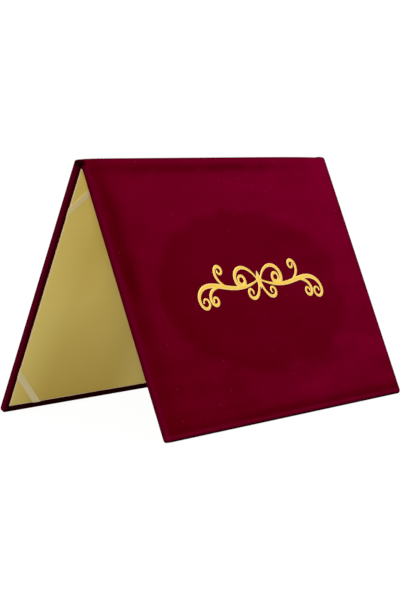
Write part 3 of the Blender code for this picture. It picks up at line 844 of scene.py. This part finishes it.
def ribbon_strip(name, left, edge_name, material):
    """A ribbon across a corner: straight stretches between six stations, bowed up by a sine on the front.

    along is how far in it lies from the panel's side edge and rise how far in from its top or bottom edge.
    On the front the two add up to the reach, and beyond an edge the ribbon has turned back under the card.
    """
    edge = RIBBON_GAP + RIBBON / 2
    upper = BACK_CARD[1] + LINING + edge
    lower = TAIL_DEPTH + RIBBON / 2
    leg = upper - lower
    spread = np.linspace(-1, 1, RIBBON_ROWS)[:, None] * RIBBON_WIDTH / math.sqrt(2)
    crossing = RIBBON_REACH[edge_name] + spread
    column = 0 * crossing
    stations = {
        "along": (RIBBON_TAIL - edge, -edge, -edge, crossing + edge, crossing + edge + leg),
        "rise": (crossing + edge + leg + RIBBON_TAIL, crossing + edge + leg, crossing + edge, -edge, -edge),
        "depth": (lower, lower, upper, upper, lower),
    }
    last = {"along": crossing + edge + leg + RIBBON_TAIL, "rise": RIBBON_TAIL - edge, "depth": lower}
    front = np.linspace(0, 1, RIBBON_STEPS)
    place = {}
    for measure, values in stations.items():
        first_tail, first_turn, start, end, last_turn = (column + value for value in values)
        across = start + (end - start) * front
        stretches = (first_tail, first_turn, across, last_turn, column + last[measure])
        place[measure] = np.concatenate(stretches, axis=1)
    bow = RIBBON_RISE * np.sin(math.pi * np.concatenate(((0, 0), front, (1, 1))))
    x = (PANEL_HALF_WIDTH - place["along"]) * (-1 if left else 1)
    down = PANEL_TOP + place["rise"] if edge_name == "top" else PANEL_BOTTOM - place["rise"]
    middle = folded(x, run_at(down), place["depth"] + bow, 1)
    steps = np.gradient(middle, axis=1)
    widths = np.gradient(middle, axis=0)
    out = np.cross(steps, widths)
    out /= np.linalg.norm(out, axis=2, keepdims=True)
    above = (middle + out * RIBBON / 2).reshape(-1, 3)
    below = (middle - out * RIBBON / 2).reshape(-1, 3)
    thread = np.repeat(crossing, middle.shape[1], axis=1).reshape(-1)
    quads = grid_quads(*middle.shape[:2])[:, ::-1]
    return thick_sheet(name, above, below, quads, material, thread=thread)


# Acetate satin gives the eye a pale ivory, a little yellow from the gold under it. It has a soft gloss, and
# threads that run along it, drawn coarser than real ones so that they show.
satin, tree, shader, _ = start_material("ivory satin ribbon", SATIN_ROUGHNESS)
shader.inputs["Sheen Weight"].default_value = SATIN_SHEEN
thread = add_node(tree, "Attribute", {}, attribute_name="thread").outputs["Fac"]
spacing = {0: thread, 1: 2 * math.pi / SATIN_THREAD}
turns = add_node(tree, "Math", spacing, operation="MULTIPLY").outputs["Value"]
wave = add_node(tree, "Math", {0: turns}, operation="SINE").outputs["Value"]
crest = add_node(tree, "MapRange", {"Value": wave, "From Min": -1.0, "From Max": 1.0}).outputs["Result"]
tint = add_node(tree, "MixRGB", {"Fac": crest, "Color1": linear(IVORY_SHADE), "Color2": linear(IVORY)})
end_material(tree, shader, tint.outputs["Color"], crest, SATIN_RELIEF)

for edge_name in RIBBON_REACH:
    for side_name, left in (("left", True), ("right", False)):
        corner_name = edge_name + "_" + side_name
        ribbon = ribbon_strip("satin_" + corner_name, left, edge_name, satin)
        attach(ribbon, "back_cover")
        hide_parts("ribbon_" + corner_name)

# The foil ornament
# A flourish of gold foil is stamped into the velvet with a hot brass die. Each stroke is a thin, slightly
# domed strip that swells in its middle and winds up into a curl. A lozenge covers the place where they meet.

FOIL_LENGTH = 0.17
FOIL_SHIFT = 0.0065
FOIL_MIDDLE_HEIGHT = 0.1175
FOIL_HUB_SHARE = 0.016
SCROLL_TIP_SHARE = 0.0072
LOZENGE_WIDTH_SHARE = 0.044
LOZENGE_HEIGHT_SHARE = 0.1
FOIL_LIFT = 0.00005
FOIL_DOME = 0.0003
DOME_POWER = 4
FOIL_ROOT = 0.00005
SCROLL_STEPS = 200
FOIL_STEPS = 9
LOZENGE_TURNS = 48

FOIL_GOLD = "#F8D75C"
FOIL_DEEP = "#EAC046"
# A painted highlight where the foil turns over at the strokes' edges.
FOIL_EDGE_HIGHLIGHT = "#FFE2A6"
EDGE_TURN_SHARES = (0.55, 1.0)
FOIL_PATCH = 0.009
FOIL_PATCH_DETAIL = 2.0
FOIL_GRAIN = 0.0009
FOIL_GRAIN_DETAIL = 1.0
FOIL_RELIEF = 0.00006
FOIL_ROUGHNESS = 0.5
FOIL_METALLIC = 1.0


class Scroll(NamedTuple):
    """One stroke of the ornament.

    length_share and stem_share are shares of FOIL_LENGTH. start_share is a share of it too for a scroll that
    grows from the lozenge, and for a tendril it is how far along the long scroll it grows. A bend is the turn
    in radians over one FOIL_LENGTH. It goes from first to last along the stroke, the later the higher
    sharpening is.
    """

    start_share: float
    heading: float
    length_share: float
    stem_share: float
    first_bend: float
    last_bend: float
    sharpening: float


LONG_SCROLL = Scroll(
    start_share=0.011,
    heading=math.radians(-24),
    length_share=0.686,
    stem_share=0.0233,
    first_bend=2.7,
    last_bend=-61.0,
    sharpening=3.6,
)
UPPER_SCROLL = Scroll(
    start_share=0.011,
    heading=math.radians(62),
    length_share=0.466,
    stem_share=0.021,
    first_bend=-6.1,
    last_bend=-56.0,
    sharpening=1.7,
)
LOWER_SCROLL = Scroll(
    start_share=0.005,
    heading=math.radians(-78),
    length_share=0.244,
    stem_share=0.0166,
    first_bend=2.2,
    last_bend=75.0,
    sharpening=1.7,
)
RISING_TENDRIL = Scroll(
    start_share=0.36,
    heading=math.radians(16),
    length_share=0.255,
    stem_share=0.0178,
    first_bend=3.6,
    last_bend=75.0,
    sharpening=1.6,
)
FALLING_TENDRIL = Scroll(
    start_share=0.42,
    heading=math.radians(-10),
    length_share=0.277,
    stem_share=0.0178,
    first_bend=-2.2,
    last_bend=-72.0,
    sharpening=1.5,
)


def trace_scroll(scroll, start, turned=0.0):
    """Stations (x, y, heading, half width) along a scroll.

    The heading is the first one plus the bend summed along the way, the place is the sum of the small steps
    taken along the heading, and the width swells from the tip's to the stem's as half a sine wave.
    """
    share = np.linspace(0, 1, SCROLL_STEPS + 1)
    power = scroll.sharpening + 1
    bent = scroll.first_bend * share + (scroll.last_bend - scroll.first_bend) * share**power / power
    heading = scroll.heading + turned + scroll.length_share * bent
    step = scroll.length_share * FOIL_LENGTH / SCROLL_STEPS
    halfway = (heading[1:] + heading[:-1]) / 2
    x = start[0] + np.concatenate(([0], np.cumsum(np.cos(halfway)))) * step
    y = start[1] + np.concatenate(([0], np.cumsum(np.sin(halfway)))) * step
    width_share = SCROLL_TIP_SHARE + (scroll.stem_share - SCROLL_TIP_SHARE) * np.sin(math.pi * share)
    return x, y, heading, width_share * FOIL_LENGTH / 2


def stroke_grid(line):
    """The plan of a stroke as x, y and how far out from its middle line, which goes from -1 to 1."""
    x, y, heading, half_width = (part[:, None] for part in line)
    out = np.linspace(-1, 1, FOIL_STEPS)
    return x - np.sin(heading) * half_width * out, y + np.cos(heading) * half_width * out, out + 0 * x


def lozenge_grid():
    """The plan of the lozenge as x, y and how far out: rings of its outline, the first shrunk to a point."""
    turn = np.linspace(0, 2 * math.pi, LOZENGE_TURNS + 1)[:, None]
    out = np.linspace(0, 1, FOIL_STEPS)
    reach = FOIL_LENGTH / 2 / (np.abs(np.cos(turn)) + np.abs(np.sin(turn)))
    x = LOZENGE_WIDTH_SHARE * reach * np.cos(turn) * out
    y = LOZENGE_HEIGHT_SHARE * reach * np.sin(turn) * out
    return x, y, out + 0 * x


def foil_strip(grid, mirrored):
    """The upper points, lower points, cells and nearness to the edge of one strip.

    The dome is highest along the middle and falls off as a high power of how far out a point lies.
    """
    x, y, out = grid
    x = FOIL_SHIFT + (-x if mirrored else x)
    down = COVER_HEIGHT - FOIL_MIDDLE_HEIGHT - FOIL_HUB_SHARE * FOIL_LENGTH - y
    run = run_at(down)
    base = PILE + swell(x, run)
    dome = FOIL_DOME * (1 - out**DOME_POWER)
    upper = folded(x, run, -base - FOIL_LIFT - dome, SIDES["front"]).reshape(-1, 3)
    lower = folded(x, run, FOIL_ROOT - base, SIDES["front"]).reshape(-1, 3)
    return upper, lower, grid_quads(*out.shape)[:, :: (1 if mirrored else -1)], np.abs(out).reshape(-1)


def foil_ornament(name, material):
    """The whole flourish: each stroke and its mirror image, and the lozenge over the place they grow from."""
    long_line = trace_scroll(LONG_SCROLL, (LONG_SCROLL.start_share * FOIL_LENGTH, 0.0))
    lines = [long_line]
    for scroll in (UPPER_SCROLL, LOWER_SCROLL):
        lines.append(trace_scroll(scroll, (scroll.start_share * FOIL_LENGTH, 0.0)))
    for tendril in (RISING_TENDRIL, FALLING_TENDRIL):
        x, y, heading, _ = (part[round(tendril.start_share * SCROLL_STEPS)] for part in long_line)
        lines.append(trace_scroll(tendril, (x, y), heading))
    strips = [foil_strip(stroke_grid(line), mirrored) for line in lines for mirrored in (False, True)]
    strips.append(foil_strip(lozenge_grid(), False))
    uppers, lowers, cells, nearness = zip(*strips)
    counts = np.cumsum([0] + [len(upper) for upper in uppers])
    quads = np.concatenate([cell + count for cell, count in zip(cells, counts)])
    upper, lower, turned_over = (np.concatenate(parts) for parts in (uppers, lowers, nearness))
    return thick_sheet(name, upper, lower, quads, material, turned_over=turned_over)


# Hot stamped foil is a film of aluminium under gold lacquer. It gives the eye a bright yellow gold, a little
# uneven where the pile below it pushes through. It is paler where it turns over at the strokes' edges, a
# painted highlight.
foil, tree, shader, place = start_material("stamped gold foil", FOIL_ROUGHNESS)
shader.inputs["Metallic"].default_value = FOIL_METALLIC
unevenness = {"Vector": place, "Scale": 1 / FOIL_PATCH, "Detail": FOIL_PATCH_DETAIL}
patches = add_node(tree, "TexNoise", unevenness).outputs["Fac"]
tint = add_node(tree, "MixRGB", {"Fac": patches, "Color1": linear(FOIL_DEEP), "Color2": linear(FOIL_GOLD)})
turned_over = add_node(tree, "Attribute", {}, attribute_name="turned_over").outputs["Fac"]
# Painted highlight: paler where the foil turns over at the strokes' edges.
start, end = EDGE_TURN_SHARES
edge = add_node(tree, "MapRange", {"Value": turned_over, "From Min": start, "From Max": end})
highlighting = {"Fac": edge.outputs["Result"], "Color1": tint.outputs["Color"], "Color2": linear(FOIL_EDGE_HIGHLIGHT)}
highlighted = add_node(tree, "MixRGB", highlighting).outputs["Color"]
grain = add_node(tree, "TexNoise", {"Vector": place, "Scale": 1 / FOIL_GRAIN, "Detail": FOIL_GRAIN_DETAIL})
end_material(tree, shader, highlighted, grain.outputs["Fac"], FOIL_RELIEF)

ornament = foil_ornament("stamped_flourish", foil)
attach(ornament, "front_cover")
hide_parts("foil_ornament")

# The studio floor
# A wide white sheet lies under the holder. To the eye, and in reflections, it is plain white and keeps only
# a soft trace of the shadow close by. The light itself meets a dark matt grey, which throws little back up.

FLOOR_REACH = 4.0
FLOOR_WHITE = "#FFFFFF"
FLOOR_BOUNCE = "#2C2C2C"
PLAIN_STRENGTH = 1.04
SHADOW_SHARE = 0.08
SHADOW_FADE = (0.25, 0.6)


def seen_directly(tree):
    """A socket that is 1 where the eye, a reflection or clear glass sees a thing, and 0 for light itself."""
    path = add_node(tree, "LightPath", {})
    seen = path.outputs["Is Camera Ray"]
    for ray in ("Is Glossy Ray", "Is Transmission Ray"):
        seen = add_node(tree, "Math", {0: seen, 1: path.outputs[ray]}, operation="MAXIMUM").outputs["Value"]
    return seen


floor_paper = bpy.data.materials.new("white background paper")
floor_paper.use_nodes = True
tree = floor_paper.node_tree
tree.nodes.clear()
bounce = add_node(tree, "BsdfDiffuse", {"Color": linear(FLOOR_BOUNCE)}).outputs["BSDF"]
matt = add_node(tree, "BsdfDiffuse", {"Color": linear(FLOOR_WHITE)}).outputs["BSDF"]
glow = {"Color": linear(FLOOR_WHITE), "Strength": PLAIN_STRENGTH}
plain = add_node(tree, "Emission", glow).outputs["Emission"]
place = add_node(tree, "TexCoord", {}).outputs["Object"]
away = add_node(tree, "VectorMath", {0: place}, operation="LENGTH").outputs["Value"]
near, far = SHADOW_FADE
fade = {"Value": away, "From Min": near, "From Max": far, "To Min": SHADOW_SHARE, "To Max": 0.0}
kept = add_node(tree, "MapRange", fade, interpolation_type="SMOOTHSTEP").outputs["Result"]
soft = add_node(tree, "MixShader", {0: kept, 1: plain, 2: matt}).outputs["Shader"]
shown = add_node(tree, "MixShader", {0: seen_directly(tree), 1: bounce, 2: soft}).outputs["Shader"]
add_node(tree, "OutputMaterial", {"Surface": shown})

corners = np.array(((-1, -1, 0), (1, -1, 0), (1, 1, 0), (-1, 1, 0))) * FLOOR_REACH
floor = add_piece("floor", corners, [[0, 1, 2, 3]], floor_paper)

# The light
# An even white room does most of the work. One soft lamp stands low on the camera's side and reaches in under
# the tent, and a wide one hangs above the holder.

ROOM_LIGHT = 0.52
ROOM_SHOWN = 1.0
ROOM_WHITE = "#FFFFFF"
LAMPS = {
    "key": {"place": (-2.2, -1.5, 0.4), "size": 1.4, "power": 62.0},
    "top": {"place": (0.2, -0.3, 2.6), "size": 2.4, "power": 22.0},
}
AIM = Vector((0.0, 0.0, 0.1))

world = bpy.data.worlds.new("white room")
bpy.context.scene.world = world
world.use_nodes = True
tree = world.node_tree
tree.nodes.clear()
room, backdrop = (
    add_node(tree, "Background", {"Color": linear(ROOM_WHITE), "Strength": strength}).outputs["Background"]
    for strength in (ROOM_LIGHT, ROOM_SHOWN)
)
shown = add_node(tree, "MixShader", {0: seen_directly(tree), 1: room, 2: backdrop}).outputs["Shader"]
add_node(tree, "OutputWorld", {"Surface": shown})

for lamp_name, lamp in LAMPS.items():
    data = bpy.data.lights.new(lamp_name, "AREA")
    data.shape = "DISK"
    data.size = lamp["size"]
    data.energy = lamp["power"]
    made = bpy.data.objects.new(lamp_name, data)
    made.location = lamp["place"]
    made.rotation_euler = (AIM - made.location).to_track_quat("-Z", "Y").to_euler()
    bpy.context.scene.collection.objects.link(made)

# The camera
# It stands 1.3 metres away at the front left, a little above the ridge, and leans a hair to its left.

CAMERA_PLACE = (-0.9911, -0.8627, 0.2348)
CAMERA_YAW = math.radians(48.634)
CAMERA_PITCH = math.radians(6.264)
CAMERA_ROLL = math.radians(0.482)
SENSOR = 36.0
FOCAL_PIXELS = 1504.38
LONG_SIDE_PIXELS = 601
CLIP = (0.05, 60.0)

forward = Vector(
    (
        math.sin(CAMERA_YAW) * math.cos(CAMERA_PITCH),
        math.cos(CAMERA_YAW) * math.cos(CAMERA_PITCH),
        -math.sin(CAMERA_PITCH),
    )
)
level_right = Vector((math.cos(CAMERA_YAW), -math.sin(CAMERA_YAW), 0.0))
level_up = level_right.cross(forward)
right = level_right * math.cos(CAMERA_ROLL) + level_up * math.sin(CAMERA_ROLL)
up = level_up * math.cos(CAMERA_ROLL) - level_right * math.sin(CAMERA_ROLL)
lens = bpy.data.cameras.new("camera")
lens.sensor_width = SENSOR
lens.lens = FOCAL_PIXELS / LONG_SIDE_PIXELS * SENSOR
lens.clip_start, lens.clip_end = CLIP
camera = bpy.data.objects.new("camera", lens)
camera.matrix_world = Matrix.Translation(CAMERA_PLACE) @ Matrix((right, up, -forward)).transposed().to_4x4()
bpy.context.scene.collection.objects.link(camera)
bpy.context.scene.camera = camera
bpy.context.scene.view_settings.view_transform = "Standard"
